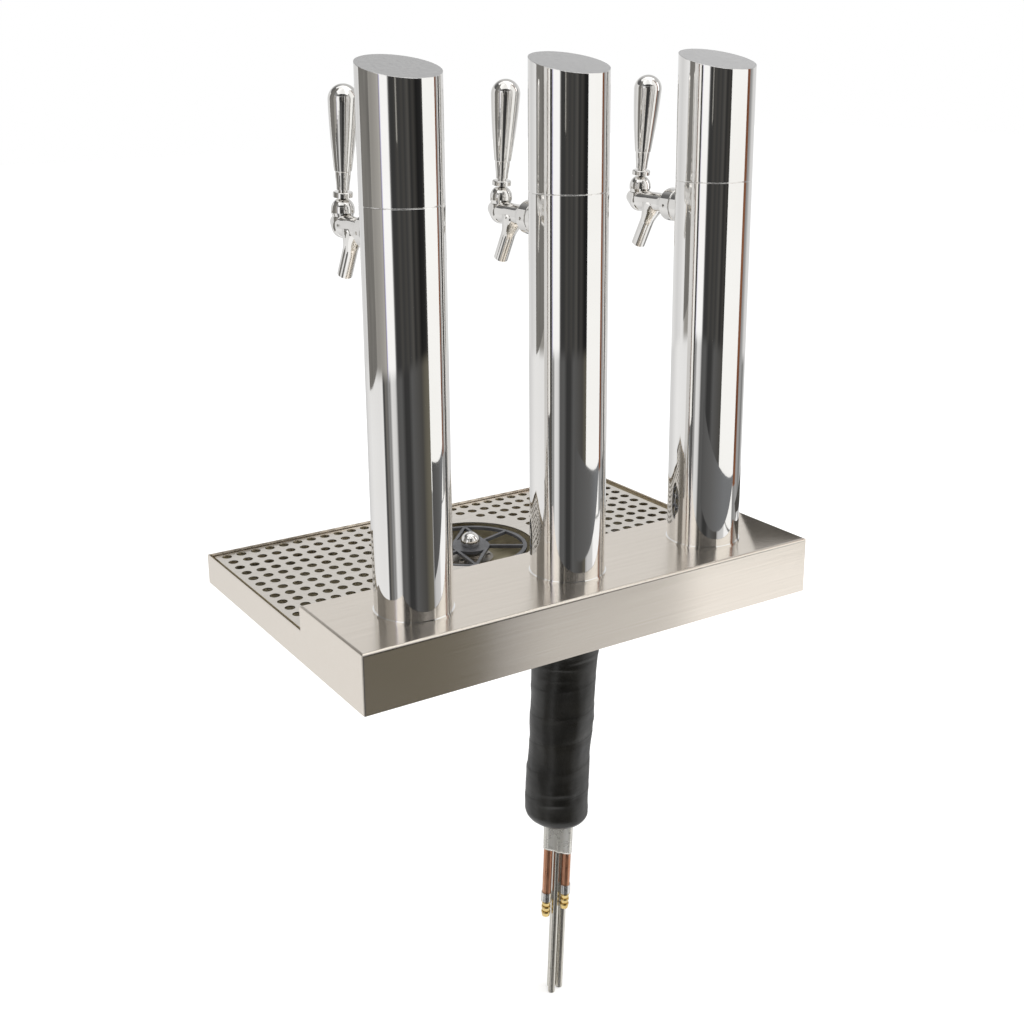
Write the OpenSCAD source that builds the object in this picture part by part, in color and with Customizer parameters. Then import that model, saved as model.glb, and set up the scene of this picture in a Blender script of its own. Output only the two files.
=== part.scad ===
// Drink dispensing station: three upright columns with faucets on a raised deck,
// a perforated drip tray with a glass rinser in front, and a cooled trunk of lines below.
// Millimetres. The origin is on the bar top, under the middle column's axis. +Z is up,
// X runs along the row of columns, and the faucets and the drip tray are towards -Y.

/* [Base] */
// Width of the base along the row of columns
base_w = 533.4; // [500:0.1:620]
// Depth of the raised deck that carries the columns
deck_d = 133; // [120:1:160]
// Depth of the drip tray in front of the deck
tray_d = 250; // [220:1:300]
// Height of the deck above the bar top
deck_h = 60; // [55:1:75]
// Height of the drip tray's lip above the bar top
tray_h = 32.5; // [28:0.5:38]
// Thickness of the folded sheet
sheet_t = 1.5; // [1.2:0.1:2]
// Outer radius of the folds round the deck
bend_r = 3; // [2.5:0.1:5]
// Outer radius of the base's upright corners
corner_r = 2; // [1:0.1:4]
// Thickness of the plate that closes the deck's underside
plate_t = 2; // [1.5:0.1:4]

/* [Columns] */
// Outer diameter of a column
column_d = 76.2; // [70:0.1:84]
// Wall of a column
column_wall = 1.5; // [1.2:0.1:2]
// Height of a column's joint line above the deck
seam_h = 381; // [340:1:420]
// Height of a column's high side above the deck
column_h = 508; // [480:1:560]
// Slope of a column's top
top_slope = 14.3; // [5:0.1:20]
// Distance of a faucet's axis below the joint line
shank_drop = 30; // [26:0.5:60]

/* [Faucets] */
// Reach of the lever's pivot from the column's axis
pivot_reach = 119; // [117:0.5:122]
// Height of the lever's pivot above the faucet's axis
pivot_h = 15; // [14.5:0.1:15.5]
// Angle by which the handle leans back at rest
handle_lean = 5.8; // [3:0.1:7]
// Angle between the spout and the vertical
spout_angle = 29; // [24:0.5:32]
// Length of a tap handle without its ferrule
handle_l = 80.6; // [70:0.1:120]
// Largest diameter of a tap handle
handle_d = 29; // [24:0.1:34]
// Diameter of a tap handle at its ferrule
handle_base_d = 17; // [15:0.1:20]

/* [Drip grid] */
// Diameter of the drain holes in the grid
hole_d = 11; // [7:0.1:12]
// Distance between holes along the row of columns
hole_pitch_x = 17.1; // [15:0.1:24]
// Distance between holes from front to back
hole_pitch_y = 19; // [15:0.1:24]
// Diameter of the round opening for the glass rinser
rinser_open_d = 143; // [138:1:160]

/* [Trunk] */
// Outer diameter of the trunk's foam sleeve
trunk_d = 70; // [56:0.5:76]
// Length of the foam sleeve below the bar top
trunk_l = 223; // [150:1:400]
// Length of the foil wrap below the bar top
foil_l = 262; // [240:1:430]
// Length of the beer lines below the bar top
line_l = 434; // [380:1:600]
// Length of the copper lines below the bar top
glycol_l = 307; // [290:1:470]
// Length by which the supply line reaches further than the return line
supply_extra = 9; // [0:0.5:20]
// Angle by which the lines lean along the row
trunk_lean = 2.6; // [0:0.1:4]
// Angle by which the foam sleeve leans along the row
sleeve_lean = 3.8; // [0:0.1:4]
// Outer diameter of a beer line
line_d = 7.94; // [7.6:0.01:8]
// Outer diameter of a copper coolant line
glycol_d = 9.53; // [9:0.01:9.6]

/* [Hidden] */
$fn = 64;

// One overrun for every cut
over = 1;
// Clearance between parts that are fixed to each other
snug = 0.1;
// Clearance between parts that move past each other
slack = 0.3;
// Radial clearance of a running fit
running = 0.05;

steel = "#d9d6d1";
chrome = "#e6e6e8";
brass = "#b58a3c";
copper = "#a8643c";
black = "#1d1c1b";
grey = "#55555a";

// Places of the base, from back to front
deck_back = deck_d / 2;
step_y = -deck_d / 2;
tray_front = step_y - tray_d;
half_w = base_w / 2;
column_count = 3;
column_pitch = base_w / column_count;
column_x = [column_pitch, 0, -column_pitch];
column_r = column_d / 2;
column_in_r = column_r - column_wall;
shank_h = seam_h - shank_drop;
shank_z = deck_h + shank_h;

// Fixing holes of the base plate, a rectangle round the origin
mount_inset_x = 26.7;
mount_inset_y = 18.5;
mount_x = half_w - mount_inset_x;
mount_y = deck_back - mount_inset_y;
mount_hole_r = 3.5;

// Column foot: a plug inside the tube on a thin visible bead
foot_bead_r = column_r + 1.2;
foot_bead_h = 1.8;
foot_h = 8;
foot_bore_r = 20;
foot_screw_count = 3;
foot_screw_ring_r = 28;
foot_screw_r = 2;
foot_screw_head_r = 3.6;
foot_screw_head_h = 2.4;

// Column cap: its sleeve slides into the tube
cap_sleeve_l = 12;
cap_sleeve_t = 1.5;
seam_chamfer = 0.5;
seam_z = deck_h + seam_h;
cap_mid_z = deck_h + column_h - column_r * tan(top_slope);

// Shank, measured outwards from the column's axis
shank_r = 11;
shank_bore_r = 3.2;
shank_inner_end = 24;
flange_end = column_r + 12;
flange_r = 18;
flange_round = 2.5;
nut_l = 16;
nut_end = flange_end + nut_l;
nut_r = 17.3;
nut_round = 1.5;
nut_lip_l = 3.3;
nut_thread_r = 13.8;
shank_collar_r = nut_thread_r - snug;
shank_end = flange_end + 7;
lock_nut_r = 16;
lock_nut_l = 6.5;
lock_nut_end = 32.5;
saddle_r = 14;
spanner_hole_r = 1.7;
spanner_hole_depth = 1.6;
spanner_holes = 6;

// Faucet body, measured outwards from the column's axis
tail_r = nut_thread_r - slack;
tail_end = nut_end - nut_lip_l - snug;
barrel_r = 10.8;
neck_r = 10.1;
barrel_end = tail_end + 9;
neck_start = barrel_end + 8;
neck_end = pivot_reach - 19;
seat_block_r = 11.6;
seat_block_drop = 0.6;
seat_cut_r = 12.4;
nose_r = 8;
nose_l = 11.2;
nose_tilt = 14;
valve_chamber_r = 7.5;
valve_seat = tail_end + 7;
passage_r = 4.2;
shaft_r = 5.5;
guide_start = pivot_reach - 19;
guide_end = pivot_reach + 8.5;
collar_r = 8.6;
collar_top = pivot_h - 2;
body_steps = 8;
spout_steps = 10;
seat_ring_r = 10.6;
seat_ring_top = pivot_h - 7;
spout_reach = 94;
spout_l = 54;
spout_r = 7.4;
spout_bore_r = 5;
socket_r = 12.2;
socket_l = 26;

// Lever, measured from its ball's centre
ball_r = 6.2;
ball_seat_r = ball_r + slack;
tip_reach = 11;
tip_r = 2.6;
tip_stem_r = 2;
stem_r = 3;
stud_r = 4.7;
stud_top = 44;
lever_collar_r = 9.7;
lever_collar_bottom = 12;
lever_collar_top = 17;
lever_collar_round = 1.5;
lever_open = 40;
tip_play = 0.35;

// Bonnet, measured from the ball's centre
bonnet_r = 11.4;
bonnet_top = 10.2;
bonnet_bottom = -pivot_h + seat_ring_top + snug;
bonnet_bottom_r = 9.8;
bonnet_shoulder = -2.8;
bonnet_thread_top = -1.9;
bonnet_hole_r = 1.1;

// Valve shaft, measured outwards from the column's axis
shaft_front = pivot_reach + 7;
shaft_back = pivot_reach - 11;
stem_shaft_r = 2.6;
valve_head_r = 6.5;
valve_head_l = 3;
shaft_pocket_floor = 0.5;

// Handle and ferrule, measured from the ball's centre
ferrule_start = lever_collar_top + 2;
ferrule_l = 17;
ferrule_neck_r = 6.2;
ferrule_top_r = 7.6;
ferrule_steps = 6;
handle_start = ferrule_start + ferrule_l;
handle_socket_l = 10;
handle_edge = 0.8;
handle_steps = 16;

// Drain pan
pan_t = 1.2;
pan_drain_top = 7.2;
pan_middle_top = 11.2;
pan_left_top = 15;
pan_right_top = 13;
pan_flat = 30;
pan_middle_half = 60;
drain_x = column_x[2];
ledge_w = 9;
ledge_h = 8;
grid_t = 1.5;
grid_drop = 3;
grid_flange_h = 2;
grid_gap = 2.2;
grid_side_gap = 5.5;
grid_corner_r = 3;
grid_top = tray_h - grid_drop;
ledge_top = grid_top - grid_flange_h - slack;
grid_half_w = half_w - sheet_t - grid_side_gap;
grid_front = tray_front + sheet_t + grid_gap;
grid_back = step_y - grid_gap;
grid_margin_x = 7.7;
grid_margin_y = 8;
holes_x = floor((2 * grid_half_w - 2 * grid_margin_x - hole_d / 2) / hole_pitch_x) + 1;
holes_y = floor((grid_back - grid_front - 2 * grid_margin_y) / hole_pitch_y) + 1;
plain_rim = 13;

// Rinser, in the middle of the tray
rinser_y = step_y - tray_d / 2;
rinser_flange_r = 26;
rinser_flange_t = 3;
rinser_barrel_r = 12;
rinser_top = 17.5;
rinser_tail_r = 10;
rinser_tail_end = -28;
rinser_inlet_r = 6.5;
rinser_inlet_end = -50;
rinser_inlet_bore_r = 4;
rinser_nut_r = 16;
rinser_nut_h = 7;
rinser_screw_count = 3;
rinser_screw_turn = 30;
rinser_screw_ring_r = 20;
rinser_screw_r = 1.5;
rinser_screw_head_r = 3;
rinser_screw_head_h = 1.8;
chamber_r = 6.4;
guide_top = 0;
guide_bottom = -6;
plunger_r = 3.5;
plunger_bore_r = 1.6;
plunger_foot = -10;
plunger_foot_r = 5;
plunger_collar_r = 6;
plunger_collar_z = 13;
plunger_collar_h = 2.5;
plunger_shoulder_r = 5;
plunger_top = 31;
star_bottom = 24;
star_t = 3.5;
star_ring_r = 64.5;
star_ring_w = 4.5;
star_hub_r = 22;
star_bar_w = 3.4;
star_petal_angles = [65, 245];
star_petal_spread = 66;
star_arm_angles = [172, 352];
star_arm_inner_spread = 24;
star_arm_outer_spread = 25;
spray_r = 11;
spray_centre_z = 32;
spray_bore_top = 34;
spray_jets = 6;
spray_jet_r = 0.6;
spray_jet_ring_r = 2.4;
spring_wire_r = 0.55;
spring_coil_r = 5.2;
spring_turns = 4;
spring_rings = 8;
spring_sides = 6;

// Drain spud
spud_flange_r = 24;
spud_flange_t = 1.5;
spud_r = 12.7;
spud_thread_end = -4;
spud_tail_r = 11.7;
spud_bore_r = 10;
spud_end = -38;
spud_bar_w = 3;
drain_nut_r = 20;
drain_nut_h = 8;

// Lines: places in the trunk, as seen from above
line_r = line_d / 2;
line_wall = 0.9;
glycol_r = glycol_d / 2;
glycol_wall = 0.8;
line_places = [[-4.8, -8.5], [0, 0], [-11.9, -3]];
supply_place = [9.6, -3.1];
return_place = [-7.6, 6.4];
bundle_x = -0.7;
bundle_y = -1.5;
foil_in_r = 15.7;
foil_t = 0.4;
foil_top = 4;
foam_top = 6;
foam_bottom_round = 14;
line_level = 44;
line_bend = 14;
supply_level = 22;
crossover_level = 40;
glycol_bend = 12;
loop_inner = 8;
loop_outer = 10;
loop_y = 9.5;
loop_top = shank_h - 25;
gentle_bend = 8;
lap = 0.4;
lap_step = 0.1;
mark_l = 30;
mark_w = 1.2;
mark_depth = 0.3;
barb_cup_r = 5.7;
barb_cup_l = 11;
barb_l = 18;
barb_neck_r = 4;
barb_ridge_r = 4.9;
barb_ridges = 3;
barb_bore_r = 2.8;
barb_cup_depth = 8;

// Outline with rounded top corners, standing on the first axis
module arch(w0, w1, h, r) {
    translate([w0, 0]) square([w1 - w0, h - r]);
    translate([w0 + r, 0]) square([w1 - w0 - 2 * r, h]);
    for (x = [w0 + r, w1 - r])
        translate([x, h - r]) circle(r = r);
}

// Rectangle with four rounded corners
module rounded_rect(x0, y0, x1, y1, r) {
    translate([x0 + r, y0]) square([x1 - x0 - 2 * r, y1 - y0]);
    translate([x0, y0 + r]) square([x1 - x0, y1 - y0 - 2 * r]);
    for (x = [x0 + r, x1 - r], y = [y0 + r, y1 - r])
        translate([x, y]) circle(r = r);
}

// The deck's block, inset from its outer skin, from the height z0 up
module deck_block(inset, z0) {
    intersection() {
        translate([-half_w + inset, 0, z0]) rotate([90, 0, 90])
            linear_extrude(base_w - 2 * inset)
                arch(step_y + inset, deck_back - inset, deck_h - inset - z0, bend_r - inset);
        translate([0, deck_back - inset, z0]) rotate([90, 0, 0])
            linear_extrude(deck_d - 2 * inset)
                arch(-half_w + inset, half_w - inset, deck_h - inset - z0, bend_r - inset);
    }
}

// Children at each column, at a given height
module at_columns(z) {
    for (x = column_x)
        translate([x, 0, z]) children();
}

// Places of the screws of one column foot
module at_foot_screws() {
    for (i = [0 : foot_screw_count - 1])
        rotate([0, 0, 90 + i * 360 / foot_screw_count])
            translate([foot_screw_ring_r, 0, 0]) children();
}

// Turns a local frame so that its third axis points out of a faucet, and its second up
module outwards(i) {
    translate([column_x[i], 0, shank_z]) rotate([90, 0, 0]) children();
}

// Upright frame at the centre of a lever's ball
module at_ball(i) {
    translate([column_x[i], -pivot_reach, shank_z + pivot_h]) children();
}

// Frame of a lever at rest, leaning back
module lever_frame(i) {
    at_ball(i) rotate([-handle_lean, 0, 0]) children();
}

module tube(r, wall, h) {
    difference() {
        cylinder(r = r, h = h);
        translate([0, 0, -over]) cylinder(r = r - wall, h = h + 2 * over);
    }
}

// Folded and welded sheet: deck, apron, step, end walls and the tray's low walls
module base_shell() {
    color(steel) difference() {
        intersection() {
            union() {
                deck_block(0, 0);
                translate([-half_w, tray_front, 0])
                    cube([base_w, tray_d + sheet_t, tray_h]);
            }
            linear_extrude(deck_h)
                rounded_rect(-half_w, tray_front, half_w, deck_back, corner_r);
        }
        deck_block(sheet_t, -over);
        translate([-half_w + sheet_t, tray_front + sheet_t, -over])
            cube([base_w - 2 * sheet_t, tray_d - sheet_t, tray_h + 2 * over]);
        at_columns(deck_h - sheet_t - over) {
            cylinder(r = foot_bore_r, h = sheet_t + 2 * over);
            at_foot_screws() cylinder(r = foot_screw_r + snug, h = sheet_t + 2 * over, $fn = 24);
        }
    }
}

// Plate under the deck, with the fixing holes and the trunk's hole
module base_plate() {
    plate_w = base_w - 2 * sheet_t;
    plate_d = deck_d - 2 * sheet_t;
    color(steel) difference() {
        translate([-plate_w / 2, -plate_d / 2, 0]) cube([plate_w, plate_d, plate_t]);
        translate([0, 0, -over]) {
            cylinder(r = trunk_d / 2 + 2 * slack, h = plate_t + 2 * over);
            for (x = [-mount_x, mount_x], y = [-mount_y, mount_y])
                translate([x, y, 0]) cylinder(r = mount_hole_r, h = plate_t + 2 * over, $fn = 32);
        }
    }
}

// Upper line of the pan's floor along the row, falling towards the drain
pan_half_w = half_w - sheet_t;
function pan_line(drop) = [
    [-pan_half_w, pan_right_top - drop],
    [drain_x - pan_flat, pan_drain_top - drop],
    [drain_x + pan_flat, pan_drain_top - drop],
    [-pan_middle_half, pan_middle_top - drop],
    [pan_middle_half, pan_middle_top - drop],
    [pan_half_w, pan_left_top - drop],
];
function reversed(list) = [for (i = [len(list) - 1 : -1 : 0]) list[i]];

// Drain pan: a sheet from wall to wall that falls towards the drain
pan_d = tray_d - sheet_t;
module tray_pan() {
    color(steel) difference() {
        translate([0, step_y, 0]) rotate([90, 0, 0]) linear_extrude(pan_d)
            polygon(concat(pan_line(0), reversed(pan_line(pan_t))));
        translate([drain_x, rinser_y, 0]) cylinder(r = spud_r + snug, h = pan_left_top);
        translate([0, rinser_y, 0]) {
            cylinder(r = rinser_tail_r + snug, h = pan_left_top);
            at_rinser_screws() cylinder(r = rinser_screw_r + snug, h = pan_left_top, $fn = 24);
        }
    }
}

// Angle strip along a wall that starts at the origin and runs along X, its ledge towards Y
module ledge_strip(l) {
    translate([0, 0, ledge_top - ledge_h]) cube([l, pan_t, ledge_h]);
    translate([0, 0, ledge_top - pan_t]) cube([l, ledge_w, pan_t]);
}

// Four angle strips inside the tray's walls, on which the grid rests
module grid_ledges() {
    long = 2 * pan_half_w;
    short = pan_d - 2 * ledge_w - 2 * slack;
    pan_front = step_y - pan_d;
    color(steel) {
        translate([-pan_half_w, pan_front, 0]) ledge_strip(long);
        translate([pan_half_w, step_y, 0]) rotate([0, 0, 180]) ledge_strip(long);
        translate([-pan_half_w, step_y - ledge_w - slack, 0]) rotate([0, 0, -90]) ledge_strip(short);
        translate([pan_half_w, pan_front + ledge_w + slack, 0]) rotate([0, 0, 90]) ledge_strip(short);
    }
}

// Places of the drain holes, leaving a plain rim round the rinser's opening
function grid_holes() = [
    for (i = [0 : holes_x - 1], j = [0 : holes_y - 1])
        let (x = (i - (holes_x - 1) / 2) * hole_pitch_x,
            y = (grid_front + grid_back) / 2 + (j - (holes_y - 1) / 2) * hole_pitch_y)
        if (norm([x, y - rinser_y]) > rinser_open_d / 2 + hole_d / 2 + plain_rim) [x, y]
];

// Loose perforated sheet with a turned-down edge
module drip_grid() {
    color(steel) difference() {
        translate([0, 0, grid_top - grid_flange_h]) linear_extrude(grid_flange_h)
            rounded_rect(-grid_half_w, grid_front, grid_half_w, grid_back, grid_corner_r);
        translate([0, 0, grid_top - grid_flange_h - over])
            linear_extrude(grid_flange_h - grid_t + over)
                rounded_rect(-grid_half_w + grid_t, grid_front + grid_t, grid_half_w - grid_t,
                    grid_back - grid_t, grid_corner_r - grid_t);
        translate([0, 0, grid_top - grid_t - over]) linear_extrude(grid_t + 2 * over) {
            translate([0, rinser_y]) circle(d = rinser_open_d);
            for (p = grid_holes())
                translate(p) circle(d = hole_d, $fn = 24);
        }
    }
}

// Drain outlet: flange with a cross bar strainer over a plain tail
module drain_spud() {
    color(steel) translate([drain_x, rinser_y, 0]) {
        difference() {
            union() {
                translate([0, 0, pan_drain_top]) cylinder(r = spud_flange_r, h = spud_flange_t);
                translate([0, 0, spud_thread_end])
                    cylinder(r = spud_r, h = pan_drain_top - spud_thread_end);
                translate([0, 0, spud_end]) cylinder(r = spud_tail_r, h = pan_drain_top - spud_end);
            }
            translate([0, 0, spud_end - over])
                cylinder(r = spud_bore_r, h = pan_drain_top + spud_flange_t - spud_end + 2 * over);
        }
        for (a = [0, 90])
            rotate([0, 0, a]) translate([-spud_bore_r - spud_flange_t, -spud_bar_w / 2, pan_drain_top])
                cube([2 * (spud_bore_r + spud_flange_t), spud_bar_w, spud_flange_t]);
    }
}

module drain_nut() {
    color(steel) translate([drain_x, rinser_y, pan_drain_top - pan_t - drain_nut_h])
        difference() {
            cylinder(r = drain_nut_r, h = drain_nut_h, $fn = 6);
            translate([0, 0, -over]) cylinder(r = spud_r + snug, h = drain_nut_h + 2 * over);
        }
}

module at_rinser_screws() {
    for (k = [0 : rinser_screw_count - 1])
        rotate([0, 0, rinser_screw_turn + k * 360 / rinser_screw_count])
            translate([rinser_screw_ring_r, 0, 0]) children();
}

// Rinser valve body: flange on the pan, chamber for the spring, inlet below
module rinser_body() {
    color(steel) translate([0, rinser_y, 0]) difference() {
        union() {
            translate([0, 0, pan_middle_top]) cylinder(r = rinser_flange_r, h = rinser_flange_t);
            translate([0, 0, pan_middle_top])
                cylinder(r = rinser_barrel_r, h = rinser_top - pan_middle_top);
            translate([0, 0, rinser_tail_end])
                cylinder(r = rinser_tail_r, h = pan_middle_top - rinser_tail_end);
            translate([0, 0, rinser_inlet_end])
                cylinder(r = rinser_inlet_r, h = rinser_tail_end - rinser_inlet_end);
        }
        translate([0, 0, guide_top]) cylinder(r = chamber_r, h = rinser_top - guide_top + over);
        translate([0, 0, guide_bottom - over])
            cylinder(r = plunger_r + running, h = guide_top - guide_bottom + 2 * over);
        translate([0, 0, rinser_tail_end + plate_t])
            cylinder(r = chamber_r, h = guide_bottom - rinser_tail_end - plate_t);
        translate([0, 0, rinser_inlet_end - over])
            cylinder(r = rinser_inlet_bore_r, h = rinser_tail_end - rinser_inlet_end + plate_t + 2 * over);
        translate([0, 0, pan_middle_top - over])
            at_rinser_screws()
                cylinder(r = rinser_screw_r + snug, h = rinser_flange_t + 2 * over, $fn = 24);
    }
}

module rinser_nut() {
    color(brass) translate([0, rinser_y, pan_middle_top - pan_t - rinser_nut_h])
        difference() {
            cylinder(r = rinser_nut_r, h = rinser_nut_h, $fn = 6);
            translate([0, 0, -over]) cylinder(r = rinser_tail_r + snug, h = rinser_nut_h + 2 * over);
        }
}

module rinser_screws() {
    seat = pan_middle_top + rinser_flange_t;
    color(chrome) translate([0, rinser_y, 0]) at_rinser_screws() {
        translate([0, 0, seat]) cylinder(r = rinser_screw_head_r, h = rinser_screw_head_h, $fn = 24);
        translate([0, 0, seat - rinser_flange_t - 2 * pan_t])
            cylinder(r = rinser_screw_r, h = rinser_flange_t + 2 * pan_t, $fn = 24);
    }
}

// Hollow plunger: carries the star and the spray head, with a collar on the spring
module rinser_plunger() {
    color(steel) translate([0, rinser_y, 0]) difference() {
        union() {
            translate([0, 0, plunger_foot]) cylinder(r = plunger_r, h = plunger_top - plunger_foot);
            translate([0, 0, plunger_foot])
                cylinder(r = plunger_foot_r, h = guide_bottom - slack - plunger_foot);
            translate([0, 0, plunger_collar_z]) {
                cylinder(r = plunger_collar_r, h = plunger_collar_h);
                cylinder(r = plunger_shoulder_r, h = star_bottom - plunger_collar_z);
            }
        }
        translate([0, 0, guide_bottom])
            cylinder(r = plunger_bore_r, h = plunger_top - guide_bottom + over, $fn = 24);
    }
}

// Helix of the spring, from its lower to its upper seat
spring_bottom = guide_top + slack + spring_wire_r;
spring_rise = plunger_collar_z - slack - spring_wire_r - spring_bottom;
function spring_ring(k) =
    let (n = spring_turns * spring_rings, a = 360 * k / spring_rings,
        z = spring_bottom + spring_rise * k / n)
    [for (s = [0 : spring_sides - 1])
        let (b = 360 * s / spring_sides, r = spring_coil_r + spring_wire_r * cos(b))
        [r * cos(a), r * sin(a), z + spring_wire_r * sin(b)]];
echo(spring_gap = spring_rise / spring_turns - 2 * spring_wire_r);

module rinser_spring() {
    n = spring_turns * spring_rings;
    m = spring_sides;
    points = [for (k = [0 : n]) each spring_ring(k)];
    sides = [for (k = [0 : n - 1], s = [0 : m - 1])
        let (a = k * m + s, b = k * m + (s + 1) % m)
        each [[a, a + m, b], [b, a + m, b + m]]];
    start = [for (s = [1 : m - 2]) [0, s, s + 1]];
    end = [for (s = [1 : m - 2]) [n * m, n * m + s + 1, n * m + s]];
    color(steel) translate([0, rinser_y, 0]) polyhedron(points, concat(sides, start, end));
}

// Straight bar between two points of a plan outline
module bar(p, q, w) {
    translate(p) rotate(atan2(q.y - p.y, q.x - p.x)) translate([0, -w / 2]) square([norm(q - p), w]);
}
function on_circle(r, a) = [r * cos(a), r * sin(a)];

// Star that the glass is pressed on: hub, pointed petals, spreading arms and a rim
module rinser_star() {
    bar_out = star_ring_r - star_ring_w / 2;
    bar_in = star_hub_r - star_bar_w / 2;
    color(grey) translate([0, rinser_y, star_bottom]) linear_extrude(star_t) difference() {
        union() {
            difference() {
                circle(r = star_ring_r);
                circle(r = star_ring_r - star_ring_w);
            }
            circle(r = star_hub_r);
            for (a = star_petal_angles, s = [-1, 1])
                bar(on_circle(bar_in, a + s * star_petal_spread), on_circle(bar_out, a), star_bar_w);
            for (a = star_arm_angles, s = [-1, 1])
                bar(on_circle(bar_in, a + s * star_arm_inner_spread),
                    on_circle(bar_out, a + s * star_arm_outer_spread), star_bar_w);
        }
        circle(r = plunger_r + snug);
    }
}

// Ball-shaped spray head on the plunger, with its jets
module spray_head() {
    seat = star_bottom + star_t;
    color(chrome) translate([0, rinser_y, 0]) difference() {
        translate([0, 0, spray_centre_z]) sphere(r = spray_r);
        translate([-spray_r, -spray_r, spray_centre_z - spray_r - over])
            cube([2 * spray_r, 2 * spray_r, seat - spray_centre_z + spray_r + over]);
        translate([0, 0, seat - over]) cylinder(r = plunger_r + snug, h = spray_bore_top - seat + over);
        for (i = [0 : spray_jets - 1])
            rotate([0, 0, i * 360 / spray_jets]) translate([spray_jet_ring_r, 0, spray_bore_top - over])
                cylinder(r = spray_jet_r, h = spray_r, $fn = 16);
    }
}

// Tube of a column: a chamfered top edge makes the visible joint line
module column_tube(i) {
    z0 = deck_h + foot_bead_h;
    color(chrome) difference() {
        translate([column_x[i], 0, 0]) rotate_extrude($fn = 128) polygon([
            [column_in_r, z0],
            [column_r, z0],
            [column_r, seam_z - seam_chamfer],
            [column_r - seam_chamfer, seam_z],
            [column_in_r, seam_z],
        ]);
        outwards(i) cylinder(r = shank_r + snug, h = column_d);
    }
}

// Half space above a column's sloping top, lowered by a given amount
module above_top(lowered) {
    translate([0, 0, cap_mid_z - lowered / cos(top_slope)]) rotate([-top_slope, 0, 0])
        translate([-column_d, -column_d, 0]) cube([2 * column_d, 2 * column_d, column_d]);
}

// Closed cap with a sloping top and a sleeve that drops into the tube
module column_cap(i) {
    sleeve_r = column_in_r - snug;
    top_z = deck_h + column_h;
    color(chrome) translate([column_x[i], 0, 0]) difference() {
        rotate_extrude($fn = 128) polygon([
            [0, seam_z - cap_sleeve_l],
            [sleeve_r, seam_z - cap_sleeve_l],
            [sleeve_r, seam_z],
            [column_r - seam_chamfer, seam_z],
            [column_r, seam_z + seam_chamfer],
            [column_r, top_z],
            [0, top_z],
        ]);
        difference() {
            translate([0, 0, seam_z - cap_sleeve_l - over])
                cylinder(r = sleeve_r - cap_sleeve_t, h = column_h, $fn = 128);
            above_top(column_wall);
        }
        above_top(0);
    }
}

module column_foot(i) {
    color(steel) translate([column_x[i], 0, deck_h]) difference() {
        union() {
            cylinder(r = foot_bead_r, h = foot_bead_h, $fn = 128);
            cylinder(r = column_in_r - snug, h = foot_h, $fn = 128);
        }
        translate([0, 0, -over]) {
            cylinder(r = foot_bore_r, h = foot_h + 2 * over);
            at_foot_screws() cylinder(r = foot_screw_r + snug, h = foot_h + 2 * over, $fn = 24);
        }
    }
}

module foot_screws() {
    color(steel) at_columns(deck_h - sheet_t) at_foot_screws() {
        translate([0, 0, -foot_screw_head_h])
            cylinder(r = foot_screw_head_r, h = foot_screw_head_h, $fn = 24);
        cylinder(r = foot_screw_r, h = foot_h, $fn = 24);
    }
}

// Threaded pipe through the column's wall, with a collar for the coupling nut
module shank(i) {
    color(chrome) outwards(i) difference() {
        union() {
            translate([0, 0, shank_inner_end]) cylinder(r = shank_r, h = shank_end - shank_inner_end);
            translate([0, 0, flange_end]) cylinder(r = shank_collar_r, h = shank_end - flange_end);
        }
        translate([0, 0, shank_inner_end - over])
            cylinder(r = shank_bore_r, h = shank_end - shank_inner_end + 2 * over, $fn = 32);
    }
}

// Flange that is cut to sit on the round column
module shank_flange(i) {
    start = sqrt(pow(column_r, 2) - pow(flange_r, 2)) - over;
    color(chrome) difference() {
        outwards(i) rotate_extrude() union() {
            translate([shank_r + snug, start])
                square([flange_r - shank_r - snug, flange_end - start - flange_round]);
            translate([shank_r + snug, start])
                square([flange_r - flange_round - shank_r - snug, flange_end - start]);
            translate([flange_r - flange_round, flange_end - flange_round]) circle(r = flange_round);
        }
        translate([column_x[i], 0, shank_z - 2 * flange_r])
            cylinder(r = column_r + snug, h = 4 * flange_r, $fn = 128);
    }
}

module shank_nuts() {
    color(brass) for (i = [0 : 2])
        outwards(i) translate([0, 0, lock_nut_end - lock_nut_l]) difference() {
            cylinder(r = lock_nut_r, h = lock_nut_l, $fn = 6);
            translate([0, 0, -over]) cylinder(r = shank_r + snug, h = lock_nut_l + 2 * over);
        }
}

// Inner saddles between the lock nuts and the round wall
module inner_saddles() {
    color(black) for (i = [0 : 2])
        intersection() {
            outwards(i) translate([0, 0, lock_nut_end]) difference() {
                cylinder(r = saddle_r, h = column_r - lock_nut_end);
                translate([0, 0, -over]) cylinder(r = shank_r + snug, h = column_r);
            }
            translate([column_x[i], 0, shank_z - saddle_r])
                cylinder(r = column_in_r - snug, h = 2 * saddle_r, $fn = 128);
        }
}

module spanner_holes(r, z, hole_r) {
    for (k = [0 : spanner_holes - 1])
        rotate([0, 0, k * 360 / spanner_holes]) translate([r - spanner_hole_depth, 0, z])
            rotate([0, 90, 0]) cylinder(r = hole_r, h = 2 * spanner_hole_depth, $fn = 24);
}

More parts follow.
